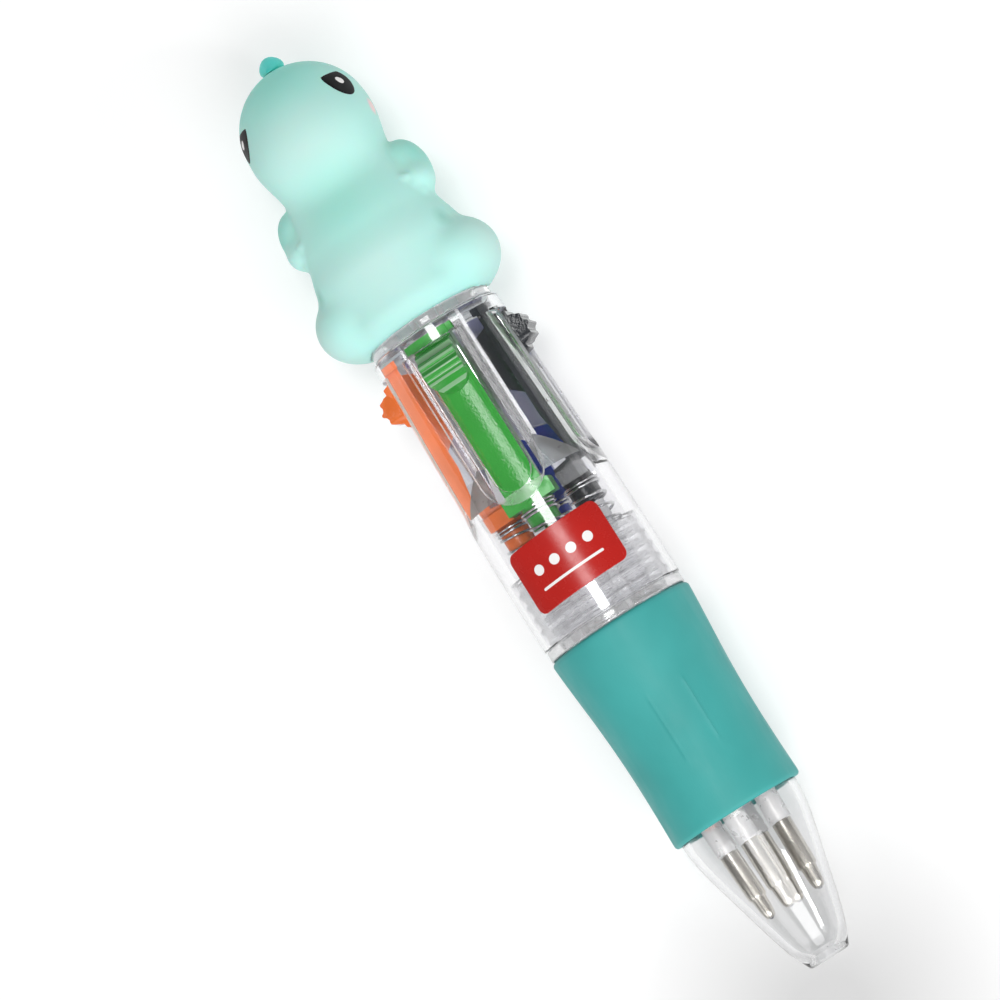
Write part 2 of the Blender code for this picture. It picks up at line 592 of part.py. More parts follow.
# ---------------------------------------------------------------- the pen
def build():
    for old in list(bpy.data.objects):
        bpy.data.objects.remove(old)

    clear = material("clear_plastic", (0.86, 0.86, 0.9), 0.08, alpha=0.3)
    rubber = material("grip_rubber", (0.07, 0.38, 0.36), 0.6)
    sticker = material("label_red", (0.55, 0.015, 0.01), 0.3)
    skin = material("topper_skin", (0.42, 0.8, 0.7), 0.5)
    spikes = material("crest_teal", (0.05, 0.5, 0.42), 0.5)
    steel = material("spring_steel", (0.6, 0.6, 0.6), 0.25, 1.0)
    nickel = material("tip_metal", (0.55, 0.52, 0.48), 0.25, 1.0)
    tube_plastic = material("tube_plastic", (0.85, 0.85, 0.85), 0.35, alpha=0.7)
    carbide = material("ball_metal", (0.35, 0.35, 0.37), 0.15, 1.0)

    pen = empty("pen", location=(-LENGTH / 2, 0, AXIS_HEIGHT))
    place("upper_barrel", upper_barrel_mesh(), clear, pen)
    place("lower_barrel", lower_barrel_mesh(), clear, pen)
    place("grip", grip_mesh(), rubber, pen)
    place("label", label_mesh(), sticker, pen)
    place("guide_plate", guide_plate_mesh(), clear, pen)
    place("slider_core", slider_core_mesh(), clear, pen)
    place("end_cap", end_cap_mesh(), clear, pen)
    place("topper_body", topper_mesh(), skin, pen)
    place("topper_crest", crest_mesh(), spikes, pen)

    slider, spring = slider_mesh(), spring_mesh()
    tube, tip, ball, ink = refill_meshes()
    for name, angle, colour in COLOURS:
        moulded = material(f"plastic_{name}", colour, 0.3)
        dye = material(f"ink_{name}", colour, 0.2)
        track = empty(f"track_{name}", pen, rotation=(math.radians(angle), 0, 0))
        place(f"slider_{name}", slider.copy(), moulded, track)
        place(f"spring_{name}", spring.copy(), steel, track)
        root = empty(f"refill_root_{name}", track, (REFILL_ROOT, 0, REFILL_OFFSET), (0, -LEAN, 0))
        place(f"refill_tube_{name}", tube.copy(), tube_plastic, root)
        place(f"refill_tip_{name}", tip.copy(), nickel, root)
        place(f"refill_ball_{name}", ball.copy(), carbide, root)
        place(f"ink_{name}", ink.copy(), dye, root)


build()
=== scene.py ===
"""Looks of the four-colour click pen with its soft dinosaur topper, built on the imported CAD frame.

Shapes are made in the pen's own millimetres: x from the nose end, y to the left, z up from the axis.
"""

import math

import bmesh
import bpy
import numpy as np
from mathutils import Matrix, Vector


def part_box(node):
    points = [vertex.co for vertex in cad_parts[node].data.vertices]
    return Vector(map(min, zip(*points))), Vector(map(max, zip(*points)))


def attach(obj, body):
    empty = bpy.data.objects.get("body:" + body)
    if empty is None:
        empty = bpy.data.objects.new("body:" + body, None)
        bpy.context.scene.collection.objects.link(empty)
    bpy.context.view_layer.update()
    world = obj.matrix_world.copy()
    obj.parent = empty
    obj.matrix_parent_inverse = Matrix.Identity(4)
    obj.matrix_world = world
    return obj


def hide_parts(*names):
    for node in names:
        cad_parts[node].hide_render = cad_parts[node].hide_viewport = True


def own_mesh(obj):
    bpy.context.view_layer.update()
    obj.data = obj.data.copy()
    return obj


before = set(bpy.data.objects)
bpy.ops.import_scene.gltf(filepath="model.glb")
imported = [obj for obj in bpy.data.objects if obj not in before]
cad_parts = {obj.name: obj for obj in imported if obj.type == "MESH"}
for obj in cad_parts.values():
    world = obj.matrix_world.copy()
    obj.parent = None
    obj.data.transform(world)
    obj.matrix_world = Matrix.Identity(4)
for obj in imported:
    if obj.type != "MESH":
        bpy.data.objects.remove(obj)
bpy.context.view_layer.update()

MM = 0.001
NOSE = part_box("lower_barrel")
END_X = NOSE[0].x  # the nose end, in the row frame
AXIS_Z = (NOSE[0].z + NOSE[1].z) / 2
ORIGIN = np.array([END_X, 0, AXIS_Z])  # where the nose end lies on the pen's axis
COLOURS = {"green": (0, (0.04, 0.30, 0.045)), "black": (90, (0.014, 0.017, 0.021)),
           "blue": (180, (0.012, 0.045, 0.40)), "orange": (270, (0.72, 0.15, 0.03))}


# ---------------------------------------------------------------- node materials
def node(tree, kind, **values):
    """A shader node with some of its settings or input values given."""
    made = tree.nodes.new("ShaderNode" + kind)
    for key, value in values.items():
        if hasattr(made, key):
            setattr(made, key, value)
        else:
            made.inputs[key.replace("_", " ")].default_value = value
    return made


def noise(tree, scale, detail=3.0, stretch=(1, 1, 1)):
    """A noise texture in object space, at so many cells per metre."""
    place = tree.nodes.new("ShaderNodeTexCoord")
    squeeze = node(tree, "Mapping")
    squeeze.inputs["Scale"].default_value = stretch
    made = node(tree, "TexNoise", Scale=scale, Detail=detail)
    tree.links.new(place.outputs["Object"], squeeze.inputs["Vector"])
    tree.links.new(squeeze.outputs["Vector"], made.inputs["Vector"])
    return made.outputs["Fac"]


def spread(tree, source, low, high, start=0.3, end=0.7):
    """The source's range from start to end, spread over low to high."""
    made = node(tree, "MapRange")
    for key, value in zip(("From Min", "From Max", "To Min", "To Max"), (start, end, low, high)):
        made.inputs[key].default_value = value
    tree.links.new(source, made.inputs["Value"])
    return made.outputs["Result"]


def blend_colours(tree, factor, first, second):
    """A mix of two colours, each of them a plain value or another node's output."""
    made = node(tree, "Mix", data_type="RGBA")
    tree.links.new(factor, made.inputs[0])
    for socket, colour in ((made.inputs[6], first), (made.inputs[7], second)):
        if isinstance(colour, tuple):
            socket.default_value = (*colour, 1)
        else:
            tree.links.new(colour, socket)
    return made.outputs[2]


def tint_or_painted_light(material, places, colour, inner, outer):
    """A soft round tint on a material's own colour, full within inner mm of a place, gone by outer mm: a
    printed patch, or painted light or shade.
    """
    tree = material.node_tree
    shader = tree.nodes["Principled BSDF"]
    own = shader.inputs["Base Color"].links[0].from_socket
    where = tree.nodes.new("ShaderNodeTexCoord").outputs["Object"]
    for place in places:
        away = node(tree, "VectorMath", operation="DISTANCE")
        away.inputs[1].default_value = place
        tree.links.new(where, away.inputs[0])
        tint = spread(tree, away.outputs["Value"], 1.0, 0.0, inner * MM, outer * MM)
        own = blend_colours(tree, tint, own, colour)
    tree.links.new(own, shader.inputs["Base Color"])


def look(name, colour, rough=(0.3, 0.4), vary=0.06, grain=900, bump=0.0, bump_grain=2500,
         stretch=(1, 1, 1), **plain):
    """A moulded finish: colour that drifts a little, uneven gloss and a fine surface texture."""
    made = bpy.data.materials.new(name)
    made.use_nodes = True
    tree = made.node_tree
    shader = tree.nodes["Principled BSDF"]
    drift = spread(tree, noise(tree, grain / 6, 2.0), 0, 1)
    darker = tuple(c * (1 - vary) for c in colour)
    lighter = tuple(min(1.0, c * (1 + vary)) for c in colour)
    tree.links.new(blend_colours(tree, drift, darker, lighter), shader.inputs["Base Color"])
    gloss = spread(tree, noise(tree, grain, 4.0, stretch), *rough)
    tree.links.new(gloss, shader.inputs["Roughness"])
    if bump:
        rise = node(tree, "Bump", Strength=bump, Distance=0.0002)
        tree.links.new(noise(tree, bump_grain, 3.0, stretch), rise.inputs["Height"])
        tree.links.new(rise.outputs["Normal"], shader.inputs["Normal"])
    for key, value in plain.items():
        shader.inputs[key.replace("_", " ")].default_value = value
    made.diffuse_color = (*colour, 1)
    return made


def let_lamps_through(material, tint):
    """Lamps reach what a clear piece holds, as its thin walls hardly shade it."""
    tree = material.node_tree
    output = tree.nodes["Material Output"]
    shader = tree.nodes["Principled BSDF"]
    open_way = node(tree, "BsdfTransparent")
    open_way.inputs["Color"].default_value = (*tint, 1)
    ray = node(tree, "LightPath")
    mix = node(tree, "MixShader")
    tree.links.new(ray.outputs["Is Shadow Ray"], mix.inputs["Fac"])
    tree.links.new(shader.outputs["BSDF"], mix.inputs[1])
    tree.links.new(open_way.outputs["BSDF"], mix.inputs[2])
    tree.links.new(mix.outputs["Shader"], output.inputs["Surface"])


clear = look("clear_styrene", (0.925, 0.925, 0.935), rough=(0.02, 0.06), vary=0.01, bump=0.02,
             bump_grain=160, Transmission_Weight=1.0, IOR=1.5)
let_lamps_through(clear, (0.80, 0.80, 0.81))
cloudy = look("cloudy_styrene", (0.955, 0.953, 0.96), rough=(0.04, 0.08), vary=0.02, bump=0.04,
              bump_grain=300, Transmission_Weight=0.8, IOR=1.5)
let_lamps_through(cloudy, (0.85, 0.85, 0.87))
frosted = look("frosted_styrene", (0.90, 0.90, 0.905), rough=(0.25, 0.4), vary=0.03, bump=0.05,
               bump_grain=900, Transmission_Weight=0.85, IOR=1.5)
let_lamps_through(frosted, (0.8, 0.8, 0.81))
smoky = look("nose_styrene", (0.865, 0.868, 0.872), rough=(0.03, 0.07), vary=0.02, bump=0.05,
             bump_grain=250, Transmission_Weight=1.0, IOR=1.5)
let_lamps_through(smoky, (0.9, 0.9, 0.9))
rubber = look("soft_rubber", (0.05, 0.362, 0.345), rough=(0.42, 0.6), vary=0.05, bump=0.08,
              bump_grain=6000, stretch=(0.3, 1, 1), Specular_IOR_Level=0.35)
film = look("printed_film", (0.46, 0.011, 0.007), rough=(0.22, 0.3), vary=0.08, bump=0.02)
white_ink = look("white_ink", (0.86, 0.85, 0.84), rough=(0.3, 0.45), vary=0.03)
vinyl = look("mint_vinyl", (0.455, 0.845, 0.775), rough=(0.5, 0.62), vary=0.018, grain=700,
             bump=0.05, bump_grain=5000, Specular_IOR_Level=0.15, Subsurface_Weight=0.15)
crest_vinyl = look("teal_vinyl", (0.10, 0.80, 0.72), rough=(0.4, 0.55), vary=0.08, bump=0.06,
                   Specular_IOR_Level=0.4)
eye_paint = look("black_paint", (0.006, 0.006, 0.007), rough=(0.4, 0.55), vary=0.2,
                 Specular_IOR_Level=0.1)
spring_wire = look("spring_wire", (0.62, 0.62, 0.63), rough=(0.16, 0.28), vary=0.08, Metallic=1.0)
nickel = look("drawn_nickel", (0.60, 0.57, 0.52), rough=(0.18, 0.32), vary=0.12, bump=0.02,
              bump_grain=2500, stretch=(0.05, 1, 1), Metallic=1.0)
carbide = look("carbide", (0.3, 0.3, 0.32), rough=(0.15, 0.25), vary=0.05, Metallic=1.0)
milky = look("milky_tube", (0.93, 0.927, 0.93), rough=(0.25, 0.35), vary=0.02,
             Transmission_Weight=0.6, IOR=1.45)
let_lamps_through(milky, (0.75, 0.75, 0.77))
plastics = {c: look(f"moulded_{c}", tint, rough=(0.13, 0.22), vary=0.1, bump=0.2, bump_grain=3500)
            for c, (_, tint) in COLOURS.items()}
# Lighter copies of each colour: painted highlights for the ridge tops of the thumb tabs.
painted_highlight_plastics = {c: look(f"painted_highlight_{c}", [0.72 * v + 0.2 for v in tint], rough=(0.1, 0.16), vary=0.1)
                 for c, (_, tint) in COLOURS.items()}
inks = {c: look(f"ink_{c}", tint, rough=(0.15, 0.25), vary=0.05) for c, (_, tint) in COLOURS.items()}


# ---------------------------------------------------------------- mesh helpers
def mesh_of(points, faces):
    """A mesh in the row frame from points in the pen's millimetres, faces turned outwards."""
    made = bpy.data.meshes.new("shape")
    here = np.array(points, float) * MM + ORIGIN
    made.from_pydata([tuple(p) for p in here], [], [tuple(int(i) for i in f) for f in faces])
    work = bmesh.new()
    work.from_mesh(made)
    bmesh.ops.recalc_face_normals(work, faces=work.faces)
    work.to_mesh(made)
    work.free()
    return made


def paint_cad(name, material):
    """A CAD node that stays visible gets its one material."""
    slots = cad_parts[name].data.materials
    slots.clear()
    slots.append(material)


def piece(name, mesh, material, body, stands_for=(), sharp=35):
    """A visible piece on its body. It is smooth but for edges over sharp degrees; 0 leaves that open."""
    mesh.name = name
    mesh.materials.clear()
    mesh.materials.append(material)
    if sharp:
        mesh.shade_smooth()
        mesh.set_sharp_from_angle(angle=math.radians(sharp))
    made = bpy.data.objects.new(name, mesh)
    bpy.context.scene.collection.objects.link(made)
    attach(made, body)
    if stands_for:
        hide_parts(*stands_for)
    return made


def turned(profile, sides=128, swell=None):
    """A closed (x, radius) profile turned about the pen's axis; radius 0 becomes a pole."""
    angles = np.arange(sides) * 2 * math.pi / sides
    points, rings = [], []
    for x, radius in profile:
        if radius == 0:
            rings.append([len(points)] * sides)
            points.append((x, 0.0, 0.0))
            continue
        r = radius + (swell(x, angles) if swell else 0.0) + 0 * angles
        rings.append(list(range(len(points), len(points) + sides)))
        points += list(zip([x] * sides, -r * np.sin(angles), r * np.cos(angles)))
    pairs = list(zip(rings, rings[1:]))
    if profile[0][1] != 0 or profile[-1][1] != 0:
        pairs.append((rings[-1], rings[0]))
    faces = []
    for low, high in pairs:
        for k in range(sides):
            n = (k + 1) % sides
            face = list(dict.fromkeys([low[k], low[n], high[n], high[k]]))
            if len(face) > 2:
                faces.append(face)
    return points, faces


def rounded(profile, radius, steps=3):
    """The profile with its inner corners rounded, each by up to the radius."""
    made = [profile[0]]
    for before, here, after in zip(profile, profile[1:], profile[2:]):
        a, b, c = (np.array(p, float) for p in (before, here, after))
        if here[1] == 0:
            made.append(here)
            continue
        to_a, to_c = a - b, c - b
        la, lc = np.linalg.norm(to_a), np.linalg.norm(to_c)
        bend = math.degrees(math.acos(np.clip(-(to_a @ to_c) / (la * lc), -1, 1)))
        reach = min(radius, 0.45 * la, 0.45 * lc)
        if bend < 12 or reach < 0.01:
            made.append(here)
            continue
        start, end = b + to_a / la * reach, b + to_c / lc * reach
        for k in range(steps + 1):
            t = k / steps
            p = (1 - t) ** 2 * start + 2 * t * (1 - t) * b + t ** 2 * end
            made.append((float(p[0]), float(p[1])))
    return made + [profile[-1]]


def extruded(outline, low, high, across):
    """An outline pushed from low to high, across y or z."""
    points = []
    for level in (low, high):
        for x, other in outline:
            points.append((x, level, other) if across == "y" else (x, other, level))
    n = len(outline)
    faces = [list(range(n))[::-1], list(range(n, 2 * n))]
    faces += [[k, (k + 1) % n, n + (k + 1) % n, n + k] for k in range(n)]
    return points, faces


def around(points, angle):
    """Points turned about the axis, from up towards -Y."""
    a = math.radians(angle)
    p = np.array(points, float)
    y, z = p[:, 1].copy(), p[:, 2].copy()
    p[:, 1] = y * math.cos(a) - z * math.sin(a)
    p[:, 2] = y * math.sin(a) + z * math.cos(a)
    return p


def local_shape(mesh):
    """A mesh's points in the pen's millimetres, and its faces."""
    points = [(np.array(v.co) - ORIGIN) / MM for v in mesh.vertices]
    return points, [list(f.vertices) for f in mesh.polygons]


def ring_faces(rings, sides):
    """Quads between rings of points that follow each other, with so many points in each."""
    faces = []
    for first in range(0, (rings - 1) * sides, sides):
        faces += [[first + k, first + (k + 1) % sides, first + sides + (k + 1) % sides, first + sides + k]
                  for k in range(sides)]
    return faces


def together(shapes):
    """Several shapes as one list of points and faces."""
    points, faces = [], []
    for some_points, some_faces in shapes:
        shift = len(points)
        points += [tuple(p) for p in some_points]
        faces += [[i + shift for i in f] for f in some_faces]
    return points, faces


def shaped(base, *steps, bevel=0.0):
    """The mesh left after a chain of (operation, tool mesh) Boolean steps and a small bevel."""
    scratch = [bpy.data.objects.new("blank", base)]
    for operation, tool_mesh in steps:
        tool = bpy.data.objects.new("tool", tool_mesh)
        scratch.append(tool)
        step = scratch[0].modifiers.new(operation, "BOOLEAN")
        step.operation = operation
        step.solver = "EXACT"
        step.object = tool
    if bevel:
        edge = scratch[0].modifiers.new("edge", "BEVEL")
        edge.width, edge.segments = bevel * MM, 2
        edge.limit_method, edge.angle_limit = "ANGLE", math.radians(40)
    for item in scratch:
        bpy.context.scene.collection.objects.link(item)
    bpy.context.view_layer.update()
    graph = bpy.context.evaluated_depsgraph_get()
    result = bpy.data.meshes.new_from_object(scratch[0].evaluated_get(graph))
    for item in scratch:
        bpy.data.objects.remove(item)
    work = bmesh.new()
    work.from_mesh(result)
    bmesh.ops.remove_doubles(work, verts=work.verts, dist=0.001 * MM)
    bmesh.ops.dissolve_degenerate(work, edges=work.edges, dist=0.001 * MM)
    work.to_mesh(result)
    work.free()
    return result


def round_normals(mesh, lean=None):
    """Smooth normals straight out from the axis on the round walls, face normals elsewhere.

    lean is the walls' tilt along the axis, or None for each face's own.
    """
    co = np.array([v.co for v in mesh.vertices]) - ORIGIN
    normals = []
    for face in mesh.polygons:
        ids = list(face.vertices)
        centre = co[ids].mean(0)
        out = np.array([0, centre[1], centre[2]])
        out /= np.linalg.norm(out) + 1e-12
        flat = np.array(face.normal)
        facing = flat @ out
        for i in ids:
            radial = np.array([0, co[i][1], co[i][2]])
            radial /= np.linalg.norm(radial) + 1e-12
            if abs(facing) > 0.95:
                tilt = flat[0] if lean is None else lean
                n = radial * math.copysign(math.sqrt(max(0.0, 1 - tilt * tilt)), facing)
                n[0] = tilt
            else:
                n = flat
            normals.append(tuple(n))
    mesh.shade_smooth()
    mesh.normals_split_custom_set(normals)


# ---------------------------------------------------------------- clear shells
# A pair is a place along the axis, from the nose end, and the radius there.
NOSE_OUTSIDE = [(0.0, 2.44), (5.9, 4.63), (11.4, 6.05), (15.8, 7.1), (19.0, 7.4)]
NOSE_WALL, NOSE_HOLE, CUT_END = 0.9, 1.6, 0.7
GRIP_START, GRIP_END, GRIP_SEAT, GRIP_BORE = 19.1, 43.9, 7.15, 7.25
CONE_TOP, FRONT_BORE = 21.6, 6.2
FLANGE_LOW, FLANGE_HIGH, FLANGE_RADIUS = 44.0, 45.2, 8.72
PLATE_SEAT, PLATE_TOP, SPIGOT_BORE = 41.9, 43.5, 7.05
SPIGOT_END, THREAD_PITCH, THREAD_ROOT, THREAD_HEIGHT = 53.3, 1.55, 7.72, 0.32
BARREL_LOW, BARREL_HIGH = 45.35, 82.9
MOUTH_BORE, BARREL_BORE, TOP_BORE = 8.17, 7.3, 7.08
BARREL_OUTSIDE = [(BARREL_LOW, 8.83), (56.0, 8.8), (73.0, 8.43), (BARREL_HIGH, 8.1)]
BARREL_CURVE = np.polyfit(*np.array(BARREL_OUTSIDE).T, 3)
SLOT_WIDTH, SLOT_LOW, SLOT_HIGH = 4.76, 61.8, 80.9
RECESS_WIDTH, RECESS_LOW, RECESS_DEPTH = 7.75, 60.3, 0.75
CHANNEL_HALF, RIB_LOW, RIB_POINT, RIB_END, RIB_RADIUS = 3.05, 61.7, 68.4, 82.75, 7.6


def thread(x, angles):
    """The spigot's ridge, which fades out at both ends of the thread."""
    fade = min(1.0, (x - FLANGE_HIGH - 0.3) / 0.8, (SPIGOT_END - 0.3 - x) / 0.8)
    if fade <= 0 or x < FLANGE_HIGH:
        return 0 * angles
    phase = x / THREAD_PITCH - angles / (2 * math.pi) + 0.25
    return THREAD_HEIGHT * fade * (0.5 + 0.5 * np.cos(2 * math.pi * phase)) ** 2.2


def smooth_nose():
    """The nose's outline as a soft curve through its main radii."""
    knots = np.array(NOSE_OUTSIDE)
    xs = np.linspace(0.0, knots[-1][0], 40)
    curve = np.polyfit(knots[:, 0], knots[:, 1], 4)
    return [(float(x), float(np.polyval(curve, x))) for x in xs]


def front_shell():
    """Nose cone, grip seat, flange and threaded spigot in one shell."""
    nose_line = smooth_nose()
    outside = [(0.0, NOSE_HOLE + 0.05), (0.0, nose_line[0][1]), nose_line[4]] + nose_line[5:]
    outside = rounded(outside, 0.95, 8)
    outside += [(NOSE_OUTSIDE[-1][0], GRIP_SEAT), (FLANGE_LOW, GRIP_SEAT)]
    outside += rounded([(FLANGE_LOW, GRIP_SEAT), (FLANGE_LOW, FLANGE_RADIUS),
                        (FLANGE_HIGH, FLANGE_RADIUS), (FLANGE_HIGH, THREAD_ROOT)], 0.2)[1:]
    outside += [(float(x), THREAD_ROOT) for x in np.arange(FLANGE_HIGH + 0.3, SPIGOT_END - 0.2, 0.12)]
    outside += [(SPIGOT_END - 0.15, THREAD_ROOT), (SPIGOT_END, THREAD_ROOT - 0.15)]
    inside = [(SPIGOT_END, SPIGOT_BORE), (PLATE_SEAT, SPIGOT_BORE), (PLATE_SEAT, FRONT_BORE),
              (CONE_TOP, FRONT_BORE)]
    inside += [(x, r - NOSE_WALL) for x, r in nose_line[::-1] if x > 2.0]
    inside += [(1.2, NOSE_HOLE), (0.05, NOSE_HOLE)]
    made = piece("front_shell", mesh_of(*turned(outside + inside, 144, thread)), clear, "barrel",
                 ["lower_barrel"], sharp=38)
    made.data.materials.append(cloudy)  # the moulded thread is less polished than the rest
    made.data.materials.append(frosted)  # and so is the cut nose end
    made.data.materials.append(smoky)  # the cone shows more of its thick wall
    for face in made.data.polygons:
        x = (face.center.x - END_X) / MM
        face.material_index = 1 if x > FLANGE_LOW else 2 if x < CUT_END else 3 if x < GRIP_START else 0


def slot_outline(low, high, width, steps=14):
    """A slot seen from above, with a round lower end."""
    half = width / 2
    angles = np.radians(np.linspace(270, 90, steps + 1))
    lower_end = [(low + half + half * math.cos(a), half * math.sin(a)) for a in angles]
    return lower_end + [(high, half), (high, -half)]


def inner_ribs():
    """Solid corners between the sliders' channels, with a conical lower end."""
    far = RIB_RADIUS + 0.2
    corner = extruded([(RIB_LOW - 1, CHANNEL_HALF), (RIB_END + 1, CHANNEL_HALF), (RIB_END + 1, far),
                       (RIB_LOW - 1, far)], CHANNEL_HALF, far, "z")
    limits = turned([(RIB_POINT, 0.0), (RIB_POINT, CHANNEL_HALF), (RIB_LOW, RIB_RADIUS),
                     (RIB_END, RIB_RADIUS), (RIB_END, 0.0)], 144)
    points, faces = local_shape(shaped(mesh_of(*corner), ("INTERSECT", mesh_of(*limits))))
    return mesh_of(*together([(around(points, 90 * k), faces) for k in range(4)]))


def barrel_shell():
    """Clear tube with four slots, each in a shallow recess, and solid corners between them."""
    bore_step = SPIGOT_END + 0.3
    outer = [(float(x), float(np.polyval(BARREL_CURVE, x)))
             for x in np.linspace(BARREL_LOW, BARREL_HIGH, 24)]
    profile = rounded([(BARREL_LOW, MOUTH_BORE)] + outer + [(BARREL_HIGH, TOP_BORE)], 0.18)
    profile += [(bore_step, BARREL_BORE), (bore_step, MOUTH_BORE)]
    floor_low = RECESS_LOW - 2.3
    recess_floor = [(floor_low, 0.0)]
    recess_floor += [(float(x), float(np.polyval(BARREL_CURVE, x)) - RECESS_DEPTH)
                     for x in np.linspace(floor_low, BARREL_HIGH, 14)] + [(BARREL_HIGH, 0.0)]
    recess = mesh_of(*extruded(slot_outline(RECESS_LOW, SLOT_HIGH, RECESS_WIDTH), 5.0, 12.0, "z"))
    recess = shaped(recess, ("DIFFERENCE", mesh_of(*turned(recess_floor, 144))))
    recess_points, recess_faces = local_shape(recess)
    slot_points, slot_faces = extruded(slot_outline(SLOT_LOW, SLOT_HIGH, SLOT_WIDTH), 4.0, 13.0, "z")
    turns = [angle for angle, _ in COLOURS.values()]
    recesses = mesh_of(*together([(around(recess_points, a), recess_faces) for a in turns]))
    slots = mesh_of(*together([(around(slot_points, a), slot_faces) for a in turns]))
    shell = shaped(mesh_of(*turned(profile, 144)), ("UNION", inner_ribs()), ("DIFFERENCE", recesses),
                   ("DIFFERENCE", slots), bevel=0.14)
    made = piece("barrel_shell", shell, clear, "barrel", ["upper_barrel"], sharp=0)
    round_normals(made.data)
    made.data.materials.append(frosted)  # rib ends and recess walls come unpolished from the mould
    for face in made.data.polygons:
        x = (face.center.x - END_X) / MM
        depth = float(np.polyval(BARREL_CURVE, x)) - math.hypot(face.center.y, face.center.z - AXIS_Z) / MM
        rib_end = RIB_LOW - 0.2 < x < RIB_POINT + 0.1 and face.normal.x < -0.3
        recess_end = RECESS_LOW - 0.1 < x < SLOT_LOW + 0.1 and 0.1 < depth < RECESS_DEPTH + 0.1
        slot_end = SLOT_LOW - 0.1 < x < SLOT_LOW + SLOT_WIDTH / 2 and face.normal.x > 0.3 and depth > 0.1
        outward = Vector((0, face.center.y, face.center.z - AXIS_Z)).normalized()
        upright = abs(face.normal.dot(outward)) < 0.8
        wall = RECESS_LOW < x < SLOT_HIGH and depth < RECESS_DEPTH + 0.1 and upright
        if rib_end or recess_end or slot_end or wall:
            face.material_index = 1


def cap_collar():
    """The rim on top of the barrel, with a hollow boss that goes up into the topper."""
    low, rim_top, hollow_top, boss_top = 83.0, 84.25, 86.5, 92.0
    rim, boss, hollow = 7.7, 4.0, 1.4
    outside = rounded([(low, hollow), (low, rim), (rim_top, rim), (rim_top, boss), (boss_top, boss),
                       (boss_top, 0.0)], 0.22)
    piece("cap_collar", mesh_of(*turned(outside + [(hollow_top, 0.0), (hollow_top, hollow)], 96)),
          cloudy, "barrel", ["end_cap"])


front_shell()
barrel_shell()
cap_collar()

# The sliders' guide core and the spring guide plate keep their CAD shapes.
for name in ("slider_core", "guide_plate"):
    paint_cad(name, cloudy)


# ---------------------------------------------------------------- grip
def grip_sleeve():
    """The rubber sleeve, waisted in the middle."""
    knots = np.array([(GRIP_START, 7.9), (19.35, 8.13), (23.1, 8.04), (28.0, 8.01), (33.4, 8.19),
                      (38.9, 8.58), (42.6, 8.86), (43.5, 8.9)])
    xs = np.linspace(19.6, 43.5, 60)
    curve = np.polyfit(knots[1:, 0], knots[1:, 1], 5)
    line = [(GRIP_START, 7.9), (19.3, 8.08)] + [(float(x), float(np.polyval(curve, x))) for x in xs]
    line += [(43.75, 8.78), (GRIP_END, 8.55), (GRIP_END, GRIP_BORE), (GRIP_START, GRIP_BORE)]

    def ribs(x, angles):
        """Two fine moulded lines along the top of the sleeve."""
        low, high, run_out = 25.8, 35.4, 1.2
        fade = np.clip(min(x - low, high - x) / run_out, 0, 1)
        rise = 0 * angles
        for place, height in ((-3, 0.1), (28, 0.15)):
            away = (np.degrees(angles) - place + 180) % 360 - 180
            rise = rise + height * np.exp(-(away / 0.8) ** 2)
        return fade * rise

    piece("grip_sleeve", mesh_of(*turned(line, 240, ribs)), rubber, "barrel", ["grip"])


grip_sleeve()


# ---------------------------------------------------------------- label
LABEL_LOW, LABEL_HIGH, LABEL_WIDTH, LABEL_CORNER, LABEL_TURN = 48.75, 56.4, 12.65, 1.05, -2.0
LABEL_SLANT = -0.04  # it is stuck on a little crooked


def wrapped(x, s, lift):
    """A point on the barrel's skin: s runs along the label's arc."""
    x = x + LABEL_SLANT * s
    r = np.polyval(BARREL_CURVE, x) + lift
    angle = s / np.polyval(BARREL_CURVE, (LABEL_LOW + LABEL_HIGH) / 2) + math.radians(LABEL_TURN)
    return (x, r * np.sin(angle), r * np.cos(angle))


def rounded_box(half_x, half_s, corner, steps=8):
    """The outline of a rounded rectangle, anticlockwise."""
    line = []
    for quarter, (sx, ss) in enumerate(((1, 1), (-1, 1), (-1, -1), (1, -1))):
        for k in range(steps + 1):
            a = math.radians(90 * quarter + 90 * k / steps)
            line.append((sx * (half_x - corner) + corner * math.cos(a),
                         ss * (half_s - corner) + corner * math.sin(a)))
    even = []
    for (x, s), (next_x, next_s) in zip(line, line[1:] + line[:1]):
        count = max(1, math.ceil(math.hypot(next_x - x, next_s - s) / 0.4))
        even += [(x + (next_x - x) * k / count, s + (next_s - s) * k / count) for k in range(count)]
    return even


def sticker(outline, low, high, middle_x, middle_s, rows=14):
    """A thin closed wafer on the barrel, from nested copies of an outline."""
    points = []
    for lift, shares in ((high, np.linspace(0.04, 0.985, rows)), (high - 0.03, [1.0]),
                         (low, np.linspace(1.0, 0.04, rows))):
        for share in shares:
            points += [wrapped(middle_x + x * share, middle_s + s * share, lift) for x, s in outline]
    n = len(outline)
    caps = [list(range(n)), list(range(len(points) - n, len(points)))]
    return points, caps + ring_faces(len(points) // n, n)


